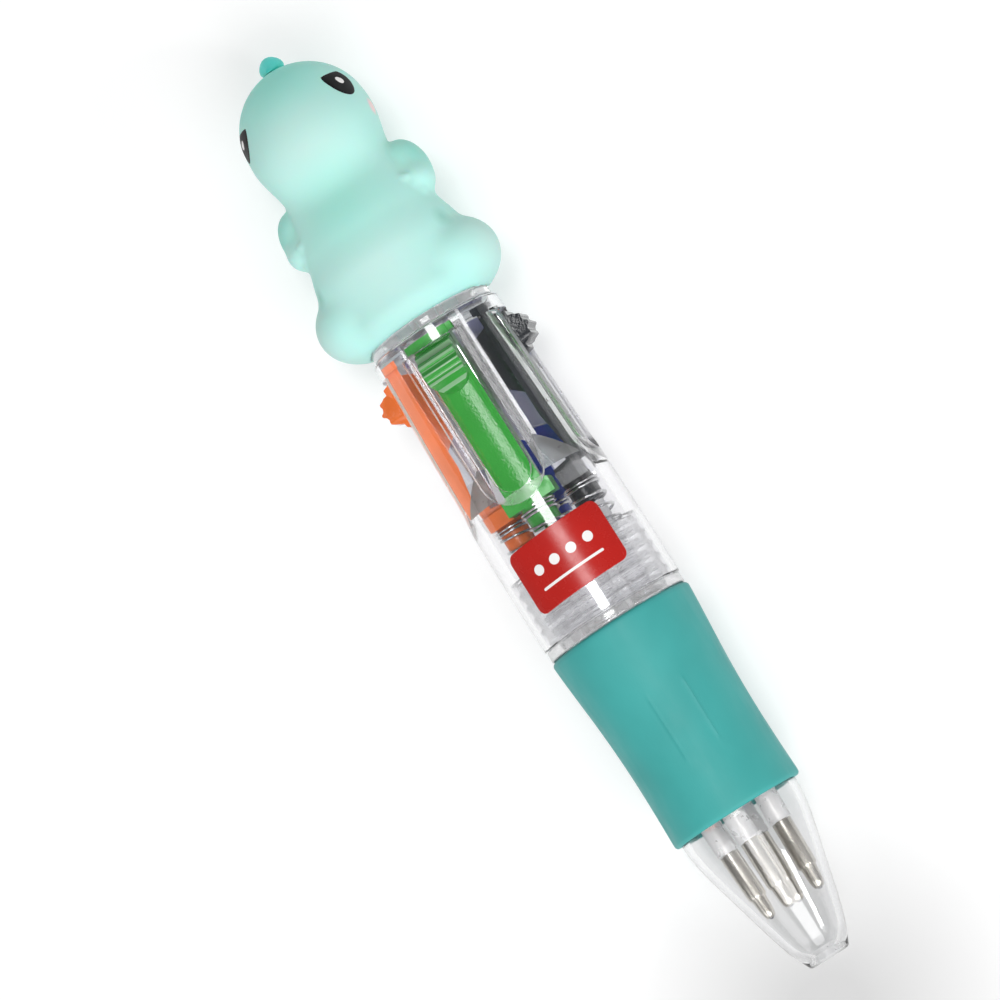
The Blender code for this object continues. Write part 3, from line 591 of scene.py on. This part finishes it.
def label():
    """The film, with four dots and a bar printed on it."""
    middle = (LABEL_LOW + LABEL_HIGH) / 2
    line = rounded_box((LABEL_HIGH - LABEL_LOW) / 2, LABEL_WIDTH / 2, LABEL_CORNER)
    made = piece("label_film", mesh_of(*sticker(line, 0.06, 0.18, middle, 0.0, 24)), film,
                 "barrel", ["label"], sharp=0)
    round_normals(made.data, 0.0)
    ink_low, ink_high = 0.15, 0.2
    dot_line = [(0.62 * math.cos(a), 0.62 * math.sin(a)) for a in np.arange(24) * math.pi / 12]
    marks = [sticker(dot_line, ink_low, ink_high, middle + 0.55, s, 3) for s in (-3.3, -1.1, 1.1, 3.3)]
    bar_line = rounded_box(0.16, 4.1, 0.15, 4)
    marks.append(sticker(bar_line, ink_low, ink_high, middle - 1.6, 0.0, 10))
    made = piece("label_print", mesh_of(*together(marks)), white_ink, "barrel", sharp=0)
    round_normals(made.data, 0.0)


label()


# ---------------------------------------------------------------- dinosaur topper
def ball_field(p, centre, radii):
    """Nearly the distance from an ellipsoid, negative inside."""
    q = (p - np.array(centre)) / np.array(radii)
    k0 = np.linalg.norm(q, axis=-1)
    k1 = np.linalg.norm(q / np.array(radii), axis=-1)
    return k0 * (k0 - 1.0) / np.maximum(k1, 1e-9)


def drum_field(p, x, half, radius, rounding):
    """The distance from a rounded drum on the axis, with its middle at x."""
    flat = np.hypot(p[..., 1], p[..., 2]) - radius + rounding
    tall = np.abs(p[..., 0] - x) - half + rounding
    outside = np.hypot(np.maximum(flat, 0), np.maximum(tall, 0))
    return outside + np.minimum(np.maximum(flat, tall), 0) - rounding


def soft_union(fields, softness):
    """Fields joined with fillets about as wide as the softness."""
    total = fields[0]
    for field in fields[1:]:
        h = np.maximum(softness - np.abs(total - field), 0) / softness
        total = np.minimum(total, field) - h * h * softness / 4
    return total


def topper_field(p):
    """The dinosaur's skin is where this is 0. It faces up (+Z), and is the same on both sides."""
    p = p * np.array([1.0, 0.0, 1.0]) + np.abs(p) * np.array([0.0, 1.0, 0.0])
    trunk = soft_union([
        drum_field(p, 89.4, 5.4, 9.15, 3.0),
        ball_field(p, (94.6, 0, 0.6), (9.8, 8.4, 8.5)),
        drum_field(p, 102.5, 8.0, 6.85, 3.0),
        ball_field(p, (110.4, 0, 0), (7.5, 7.75, 7.65)),
    ], 2.5)
    trunk = soft_union([trunk, ball_field(p, (107.6, 0, 4.6), (4.6, 5.6, 3.7))], 3.4)
    arm = soft_union([ball_field(p, (100.0, 7.3, -0.4), (3.7, 2.5, 3.1)),
                      ball_field(p, (98.2, 7.45, 1.5), (1.9, 2.15, 2.5))], 1.2)
    fingers = [ball_field(p, (98.7 - 1.0 * k, 6.9 + 0.3 * k, 3.75 - 0.5 * k), (0.5, 0.9, 0.9))
               for k in range(3)]
    arm = soft_union([arm] + fingers, 0.2)
    leg = ball_field(p, (88.4, 5.95, 0.6), (4.8, 5.8, 6.4))
    haunch = ball_field(p, (89.5, 5.0, -4.4), (4.4, 5.2, 6.6))
    skin = soft_union([soft_union([trunk, leg, haunch], 0.9), arm], 0.7)
    pocket = np.minimum(drum_field(p, 80.0, 4.35, 7.8, 0.1), drum_field(p, 85.0, 7.1, 4.1, 0.1))
    return np.maximum(skin, -pocket)


def slope(field, p, step=0.02):
    """The field's gradient at each point."""
    offsets = np.eye(3) * step
    return np.stack([(field(p + o) - field(p - o)) / (2 * step) for o in offsets], -1)


def settle(field, p, rounds=5):
    """Points moved along the field's slope onto its skin."""
    for _ in range(rounds):
        value, along = field(p), slope(field, p)
        move = value[:, None] * along / np.maximum((along ** 2).sum(-1), 0.05)[:, None]
        length = np.linalg.norm(move, axis=1, keepdims=True)
        p = p - move * np.minimum(1.0, 0.3 / np.maximum(length, 1e-9))
    return p


def skin_of(field, low, high, step):
    """A quad mesh of the field's zero skin: one point for each grid cell it crosses."""
    axes = [np.arange(a, b + step, step) for a, b in zip(low, high)]
    inside = field(np.stack(np.meshgrid(*axes, indexing="ij"), -1)) < 0
    cells = np.zeros([n - 1 for n in inside.shape], int)
    for i in (0, 1):
        for j in (0, 1):
            for k in (0, 1):
                cells += inside[i:i + cells.shape[0], j:j + cells.shape[1], k:k + cells.shape[2]]
    active = (cells > 0) & (cells < 8)
    index = np.full(cells.shape, -1)
    index[active] = np.arange(active.sum())
    points = settle(field, np.array(low) + (np.argwhere(active) + 0.5) * step)
    faces = []
    for axis in range(3):
        near = [slice(None)] * 3
        far = [slice(None)] * 3
        near[axis], far[axis] = slice(0, -1), slice(1, None)
        a_in, b_in = inside[tuple(near)], inside[tuple(far)]
        where = np.argwhere(a_in != b_in)
        outward = a_in[tuple(where.T)]
        b, c = (axis + 1) % 3, (axis + 2) % 3
        corners = []
        for db, dc in ((-1, -1), (0, -1), (0, 0), (-1, 0)):
            at = where.copy()
            at[:, b] += db
            at[:, c] += dc
            corners.append(index[tuple(at.T)])
        quads = np.stack(corners, -1)
        quads[~outward] = quads[~outward][:, ::-1]
        faces.append(quads)
    faces = np.concatenate(faces)
    for _ in range(3):  # even out the quads, then go back onto the skin
        total, count = np.zeros_like(points), np.zeros(len(points))
        for k in range(4):
            for n in (1, 3):
                np.add.at(total, faces[:, k], points[faces[:, (k + n) % 4]])
                np.add.at(count, faces[:, k], 1)
        points = settle(field, 0.5 * points + 0.5 * total / count[:, None], 2)
    return points, faces


body = skin_of(topper_field, (83.0, -14.0, -12.6), (119.5, 14.0, 11.0), 0.36)
piece("dino_body", mesh_of(*body), vinyl, "barrel", ["topper_body"], sharp=50)


def skin_point(x, angle, tilt=0.0):
    """The skin's outermost point from the axis. angle 0 is up, 90 is +Y; tilt 90 is the crown."""
    a, t = math.radians(angle), math.radians(tilt)
    direction = np.array([math.sin(t), math.cos(t) * math.sin(a), math.cos(t) * math.cos(a)])
    origin = np.array([x, 0.0, 0.0])
    reach = np.arange(0.0, 16.0, 0.02)
    line = origin + reach[:, None] * direction
    return line[np.nonzero(topper_field(line) < 0)[0].max()]


def patch(middle_x, middle_angle, half_x, half_s, lift, outline, rings=8, around_steps=48):
    """A thin painted wafer on the head. outline(t) gives its reach at each angle t."""
    middle = skin_point(middle_x, middle_angle)
    out = slope(topper_field, middle[None])[0]
    out /= np.linalg.norm(out)
    up = np.array([1.0, 0, 0]) - out * out[0]
    up /= np.linalg.norm(up)
    side = np.cross(out, up) * (1 if middle_angle > 0 else -1)
    edge = np.repeat(np.arange(rings + 1), [1] + [around_steps] * rings) / rings
    sheets = []
    for height in (lift, -0.12):
        rows = []
        for ring in np.linspace(0, 1, rings + 1)[1:]:
            for k in range(around_steps):
                t = 2 * math.pi * k / around_steps
                reach = ring * outline(t)
                rows.append(middle + up * half_x * reach * math.sin(t) + side * half_s * reach * math.cos(t))
        p = settle(topper_field, np.array([middle] + rows), 6)
        n = slope(topper_field, p)
        n /= np.linalg.norm(n, axis=1, keepdims=True)
        fall = np.where((edge > 0.99) & (height > 0), 0.35, 1.0)  # the paint thins out at its edge
        sheets.append(p + n * (height * fall)[:, None])
    count = 1 + rings * around_steps
    faces = []
    for base, flip in ((0, False), (count, True)):
        for k in range(around_steps):
            n = (k + 1) % around_steps
            fan = [base, base + 1 + k, base + 1 + n]
            faces.append(fan[::-1] if flip else fan)
            for r in range(rings - 1):
                a, b = base + 1 + r * around_steps, base + 1 + (r + 1) * around_steps
                quad = [a + k, b + k, b + n, a + n]
                faces.append(quad[::-1] if flip else quad)
    rim = 1 + (rings - 1) * around_steps
    for k in range(around_steps):
        n = (k + 1) % around_steps
        faces.append([rim + k, count + rim + k, count + rim + n, rim + n])
    return list(sheets[0]) + list(sheets[1]), faces


def eye_line(t):
    """Round, with a flat top that ends in a corner towards the face."""
    corner = max(0.0, math.cos(t - math.radians(140))) ** 6
    reach = 1.0 + 0.24 * corner
    top = reach * math.sin(t)
    return reach * 0.78 / top if top > 0.78 else reach


def glint_line(t):
    """A drop that points up towards the face."""
    return 0.8 + 0.35 * max(0.0, math.cos(t - math.radians(120))) ** 3


for side, sign in (("left", 1), ("right", -1)):
    piece(f"eye_{side}", mesh_of(*patch(111.95, 61 * sign, 2.05, 1.9, 0.05, eye_line)), eye_paint,
          "barrel")
    piece(f"glint_{side}", mesh_of(*patch(112.05, 62 * sign, 0.62, 0.66, 0.09, glint_line, 4, 24)),
          white_ink, "barrel")


def on_skin(x, *angles, tilt=0.0):
    """Skin points in the row frame."""
    return [tuple(skin_point(x, angle, tilt) * MM + ORIGIN) for angle in angles]


# Painted light and shade on the vinyl: paler, whiter painted light on the snout, belly and legs; deeper teal
# painted shade on the crown, darker painted shade on the chest, arms and leg creases.
tint_or_painted_light(vinyl, on_skin(106.2, 0), (0.50, 0.775, 0.725), 1, 8.5)
tint_or_painted_light(vinyl, on_skin(90.5, 0), (0.51, 0.775, 0.725), 1, 9.5)
tint_or_painted_light(vinyl, on_skin(87.5, 80, -80), (0.50, 0.785, 0.735), 1, 6)
tint_or_painted_light(vinyl, on_skin(111.0, 0, tilt=72), (0.285, 0.885, 0.77), 1, 9.5)
tint_or_painted_light(vinyl, on_skin(99.3, 0), (0.37, 0.79, 0.70), 1, 7.5)
tint_or_painted_light(vinyl, on_skin(101.5, 88, -88), (0.28, 0.75, 0.66), 1.2, 4.2)
tint_or_painted_light(vinyl, on_skin(92.6, 62, -62), (0.33, 0.70, 0.62), 0.2, 1.6)
tint_or_painted_light(vinyl, on_skin(108.2, 86, -86), (0.88, 0.68, 0.68), 0.6, 1.2)  # pink cheeks


def crest():
    """A ridge of blunt teeth over the crown and down the back, standing just off the skin."""
    spikes, per_spike, sides = 5, 14, 16
    valley, tallest, widest, gap = 0.45, 2.24, 1.9, 0.12
    lower, narrower = 0.12, 0.1  # what each spike loses on the first one, as a share
    route = [(110.3, 100 - 12.5 * k) for k in range(8)] + [(110.3 - 1.15 * k, 0) for k in range(10)]
    line = np.array([skin_point(x, 180.0, t) for x, t in route])
    length = np.concatenate([[0], np.cumsum(np.linalg.norm(np.diff(line, axis=0), axis=1))])
    count = spikes * per_spike
    even = np.linspace(0, length[-1], count + 1)
    line = np.stack([np.interp(even, length, line[:, k]) for k in range(3)], -1)
    points = []
    for k in range(count + 1):
        along = line[min(k + 1, count)] - line[max(k - 1, 0)]
        out = np.array([-along[2], 0.0, along[0]]) / np.linalg.norm(along)
        if out @ (line[k] - np.array([104.0, 0, 0])) < 0:
            out = -out
        spike, part = divmod(k, per_spike)
        peak = math.sin(math.pi * part / per_spike) ** 1.3
        tall = valley + (tallest - valley) * (1 - lower * spike) * peak
        wide = valley + (widest - valley) * (1 - narrower * spike) * peak
        for s in range(sides):
            a = 2 * math.pi * s / sides
            lift = gap + (tall - gap) * (0.5 - 0.5 * math.cos(a))
            share = abs(math.sin(a)) ** 0.8 * (0.75 + 0.25 * math.cos(a))
            points.append(line[k] + out * lift + np.array([0, math.copysign(share, math.sin(a)) * wide, 0]))
    caps = [list(range(sides)), list(range(count * sides, (count + 1) * sides))]
    piece("dino_crest", mesh_of(points, caps + ring_faces(count + 1, sides)), crest_vinyl,
          "barrel", ["topper_crest"], sharp=60)


crest()


# ---------------------------------------------------------------- colour pieces
TEETH, THUMB_RIDGE, TOOTH_WEAR = 5, 0.46, 0.12
RAIL_WIDTH, RAIL_TOP, RAIL_END, SHOULDER = 5.8, 6.2, 82.1, 59.8
WAIST_LOW, WAIST_HIGH, BLOCK_WIDTH, BLOCK_TOP = 61.6, 81.2, 4.6, 6.9
REFILL_OFFSET, REFILL_ROOT = 4.6, 55.0
TIP_OFFSET, BALL_SEAT = 3.25, 7.3
LEAN = math.atan2(REFILL_OFFSET - TIP_OFFSET, REFILL_ROOT - BALL_SEAT)
THUMB_LOW, THUMB_HIGH, THUMB_WIDTH, THUMB_TOP, THUMB_DROP = 74.8, 80.7, 4.6, 10.05, 2.6
STEM_LOW, STEM_RADIUS, PEG_LOW, PEG_RADIUS = 57.0, 1.75, 53.2, 0.5
COIL_RADIUS, WIRE = 2.02, 0.17
TIP_TOP, NEEDLE_TOP, TUBE_RADIUS, TUBE_BORE = 15.8, 9.85, 1.3, 0.8


def raised(shape):
    """A shape on the pen's axis, lifted to the axis of its stem."""
    points, faces = shape
    return np.array(points, float) + np.array([0, 0, REFILL_OFFSET]), faces


def crown(share):
    """Height of the thumb tab under its ridges, at a share of its length."""
    return THUMB_TOP - THUMB_RIDGE - THUMB_DROP * (2 * share - 1) ** 2


def tooth_top(share):
    """Height of the blunt top of the ridge at this share of the tab's length."""
    tooth = min(int(share * TEETH + 1e-6), TEETH - 1)
    return crown((tooth + 0.5) / TEETH) + THUMB_RIDGE - TOOTH_WEAR


def slider():
    """Rail, ridged thumb tab, cam web, stem and refill peg, for the colour on top."""
    rail = [(SHOULDER, 3.2), (SHOULDER + 2.2, 3.2), (SHOULDER + 2.5, 5.0), (68.0, 4.2),
            (RAIL_END, 4.2), (RAIL_END, RAIL_TOP), (SHOULDER, RAIL_TOP)]
    block = slot_outline(SHOULDER + 1.9, RAIL_END, BLOCK_WIDTH)
    half, length = RAIL_WIDTH / 2, THUMB_HIGH - THUMB_LOW
    side_line = []
    for k in range(12 * TEETH + 1):
        share = k / (12 * TEETH)
        ridge = THUMB_RIDGE * abs(math.sin(math.pi * TEETH * share)) ** 4
        side_line.append((THUMB_LOW + length * share, min(crown(share) + ridge, tooth_top(share))))
    base = RAIL_TOP - 0.6
    tab = mesh_of(*extruded([(THUMB_HIGH, base), (THUMB_LOW, base)] + side_line,
                            -THUMB_WIDTH / 2, THUMB_WIDTH / 2, "y"))
    plan = slot_outline(THUMB_LOW, THUMB_HIGH + 1, THUMB_WIDTH + 0.02)
    tab = shaped(tab, ("INTERSECT", mesh_of(*extruded(plan, 5.0, 12.0, "z"))))
    web = [(69.5, 4.6), (73.0, 1.75), (79.0, 1.75), (81.0, 4.6)]
    stem = turned(rounded([(STEM_LOW, 0.0), (STEM_LOW, STEM_RADIUS), (SHOULDER + 0.5, STEM_RADIUS),
                           (SHOULDER + 0.5, 0.0)], 0.2), 40)
    peg = turned([(PEG_LOW, 0.0), (PEG_LOW, PEG_RADIUS), (STEM_LOW + 0.5, PEG_RADIUS),
                  (STEM_LOW + 0.5, 0.0)], 20)
    waists = together([
        extruded([(WAIST_LOW, side * BLOCK_WIDTH / 2), (WAIST_HIGH, side * BLOCK_WIDTH / 2),
                  (WAIST_HIGH, side * 5), (WAIST_LOW, side * 5)], 2.0, 9.0, "z")
        for side in (-1, 1)])
    round_top = turned([(55.0, 0), (55.0, BLOCK_TOP), (90.0, BLOCK_TOP), (90.0, 0)], 180)
    block = shaped(mesh_of(*extruded(block, 5.6, 9.0, "z")), ("INTERSECT", mesh_of(*round_top)))
    return shaped(mesh_of(*extruded(rail, -half, half, "y")), ("DIFFERENCE", mesh_of(*waists)),
                  ("UNION", block), ("UNION", tab),
                  ("UNION", mesh_of(*extruded(web, -0.7, 0.7, "y"))),
                  ("UNION", mesh_of(*raised(stem))), ("UNION", mesh_of(*raised(peg))), bevel=0.1)


def coil():
    """A spring with close turns at both ends, standing on the guide plate."""
    low, high = PLATE_TOP + WIRE + 0.05, SHOULDER - WIRE - 0.05
    close, open_turns, pitch, sides, per_turn = 2, 9, 0.42, 8, 28
    turns = 2 * close + open_turns
    heights = [low, low + close * pitch, high - close * pitch, high]
    points = []
    steps = turns * per_turn
    for k in range(steps + 1):
        turn = k / per_turn
        angle = 2 * math.pi * turn
        x = float(np.interp(turn, [0, close, close + open_turns, turns], heights))
        for side in range(sides):
            a = 2 * math.pi * side / sides
            r = COIL_RADIUS + WIRE * math.cos(a)
            points.append((x + WIRE * math.sin(a), r * math.sin(angle), REFILL_OFFSET + r * math.cos(angle)))
    caps = [list(range(sides)), [sides * steps + s for s in range(sides)]]
    return points, ring_faces(steps + 1, sides) + caps


def leaned(shape):
    """A refill shape, straight along X from its root, laid into its lean below its stem."""
    points, faces = shape
    p = np.array(points, float)
    x, z = p[:, 0].copy(), p[:, 2].copy()
    p[:, 0] = REFILL_ROOT + x * math.cos(LEAN) - z * math.sin(LEAN)
    p[:, 2] = REFILL_OFFSET + x * math.sin(LEAN) + z * math.cos(LEAN)
    return p, faces


def refill_shapes():
    """Tube, stepped metal tip and ink column, each in the refill's lean."""
    def at(x):
        return (x - REFILL_ROOT) / math.cos(LEAN)

    metal, needle, ball, top = at(TIP_TOP), at(NEEDLE_TOP), at(BALL_SEAT), at(STEM_LOW) - 0.3
    tube = turned([(metal, TUBE_BORE), (metal, TUBE_RADIUS), (top, TUBE_RADIUS), (top, TUBE_BORE)], 40)
    tip_line = [(ball + 0.5, 0.22), (ball + 0.5, 0.44), (ball, 0.44), (ball - 0.03, 0.49), (ball, 0.54),
                (ball + 0.12, 0.61), (ball + 0.3, 0.68), (ball + 0.55, 0.75), (ball + 0.9, 0.81),
                (needle - 0.1, 0.9), (needle, 0.92), (needle, 1.02), (needle + 0.1, 1.09),
                (needle + 0.35, 1.15)]
    tip_line += [(metal - 0.1, 1.15), (metal - 0.1, 0.7), (metal + 3.0, 0.7), (metal + 3.0, 0.22)]
    ink = turned([(metal + 3.2, 0.0), (metal + 3.2, 0.7), (at(45.0), 0.7), (at(45.0), 0.0)], 32)
    return leaned(tube), leaned(turned(tip_line, 48)), leaned(ink)


def turned_to(angle, shape):
    """The mesh of a shape that is made for the top of the pen, turned to a colour's own side."""
    points, faces = shape
    return mesh_of(around(points, angle), faces)


def paint_ridge_highlights(button, angle, material):
    """Paler, glossier tops on the ridges of a slider's thumb tab, as a painted highlight along each ridge.
    """
    button.data.materials.append(material)
    up = Vector(around([(0, 0, 1)], angle)[0])
    for face in button.data.polygons:
        share = ((face.center.x - END_X) / MM - THUMB_LOW) / (THUMB_HIGH - THUMB_LOW)
        height = (face.center - Vector((0, 0, AXIS_Z))).dot(up) / MM
        if 0 < share < 1 and height > tooth_top(share) - 0.06 and face.normal.dot(up) > 0.93:
            face.material_index = 1


slider_shape, coil_shape = local_shape(slider()), coil()
tube_shape, tip_shape, ink_shape = refill_shapes()
for colour, (angle, _) in COLOURS.items():
    button = piece(f"button_{colour}", turned_to(angle, slider_shape), plastics[colour],
                   f"slide_{colour}", [f"slider_{colour}"], sharp=40)
    paint_ridge_highlights(button, angle, painted_highlight_plastics[colour])
    spring = piece(f"coil_{colour}", turned_to(angle, coil_shape), spring_wire, "barrel",
                   [f"spring_{colour}"], sharp=60)
    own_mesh(spring)
    for name, shape, material, slot, node_name in (
            ("tube", tube_shape, milky, "tube_plastic", "refill_tube"),
            ("tip", tip_shape, nickel, "tip_metal", "refill_tip"),
            ("ink_core", ink_shape, inks[colour], f"ink_{colour}", "ink")):
        piece(f"{name}_{colour}", turned_to(angle, shape), material, f"refill_{colour}",
              [f"{node_name}_{colour}"])
    paint_cad(f"refill_ball_{colour}", carbide)


# ---------------------------------------------------------------- floor, lights, camera
def stage_floor():
    """Plain pale paper, with a painted shadow under the nose."""
    made = bpy.data.meshes.new("floor")
    made.from_pydata([(-1.5, -1.5, 0), (1.5, -1.5, 0), (1.5, 1.5, 0), (-1.5, 1.5, 0)], [], [(0, 1, 2, 3)])
    floor = bpy.data.objects.new("floor", made)
    paper = look("pale_paper", (0.55, 0.55, 0.55), rough=(0.75, 0.85), vary=0.004, grain=60,
                 Emission_Color=(1, 1, 1, 1), Emission_Strength=0.48)  # keeps its shadows pale
    # A painted shadow darkens the paper around the nose end.
    tint_or_painted_light(paper, [(END_X - 5 * MM, 5 * MM, 0)], (0.18, 0.18, 0.18), 4, 28)
    made.materials.append(paper)
    bpy.context.scene.collection.objects.link(floor)


stage_floor()

TILT, ROLL = math.radians(6.5), math.radians(10)  # of the view, along the pen and around it
PICTURE_TURN = math.radians(57.8)  # of the pen in the picture, down from its left-to-right line
CAMERA_REACH, AIM_ALONG, AIM_ASIDE = 0.56, 2.8 * MM, -3.96 * MM
along_pen = Vector((1, 0, 0))
middle_way = Vector((0, -math.sin(ROLL), math.cos(ROLL)))


def photo_camera():
    """A long lens above the pen's top, leaning a little towards the nose end."""
    to_camera = math.cos(TILT) * middle_way - math.sin(TILT) * along_pen
    pen_up = (along_pen - to_camera * to_camera.x).normalized()
    pen_right = pen_up.cross(to_camera)
    image_right = math.sin(PICTURE_TURN) * pen_right - math.cos(PICTURE_TURN) * pen_up
    image_down = -math.cos(PICTURE_TURN) * pen_right - math.sin(PICTURE_TURN) * pen_up
    target = AIM_ALONG * along_pen + Vector((0, 0, AXIS_Z)) + AIM_ASIDE * pen_right
    camera = bpy.data.objects.new("camera", bpy.data.cameras.new("camera"))
    camera.data.lens, camera.data.sensor_width = 179.7, 36.0
    camera.data.clip_start, camera.data.clip_end = 0.01, 10.0
    turn = Matrix((image_right, -image_down, to_camera)).transposed()
    camera.matrix_world = Matrix.Translation(target + to_camera * CAMERA_REACH) @ turn.to_4x4()
    bpy.context.scene.collection.objects.link(camera)
    bpy.context.scene.camera = camera


photo_camera()


def softbox(name, along, across, distance, length, width, watts):
    """A soft lamp over the pen: along and across are its angles from straight over the barrel."""
    lamp = bpy.data.lights.new(name, "AREA")
    lamp.shape, lamp.size, lamp.size_y, lamp.energy = "RECTANGLE", length, width, watts
    a, c = math.radians(along), math.radians(across)
    side = along_pen.cross(middle_way)
    way = math.cos(a) * (math.cos(c) * middle_way + math.sin(c) * side) + math.sin(a) * along_pen
    made = bpy.data.objects.new(name, lamp)
    x_axis = (along_pen - way * way.x).normalized()
    turn = Matrix((x_axis, way.cross(x_axis), way)).transposed()
    made.matrix_world = Matrix.Translation(Vector((0, 0, AXIS_Z)) + way * distance) @ turn.to_4x4()
    made.visible_camera = False
    bpy.context.scene.collection.objects.link(made)


softbox("strip", 7, -5, 0.75, 0.2, 0.2, 1.5)
softbox("key", -36, -2, 0.8, 0.4, 0.5, 3.4)
softbox("fill", -30, -55, 0.8, 0.4, 0.4, 1.1)
softbox("glint", -33, 38, 0.8, 0.12, 0.1, 1.1)

world = bpy.data.worlds.new("studio")
world.use_nodes = True
world.node_tree.nodes["Background"].inputs["Color"].default_value = (1.0, 1.0, 1.0, 1)
world.node_tree.nodes["Background"].inputs["Strength"].default_value = 0.25
bpy.context.scene.world = world
bpy.context.scene.view_settings.view_transform = "Standard"
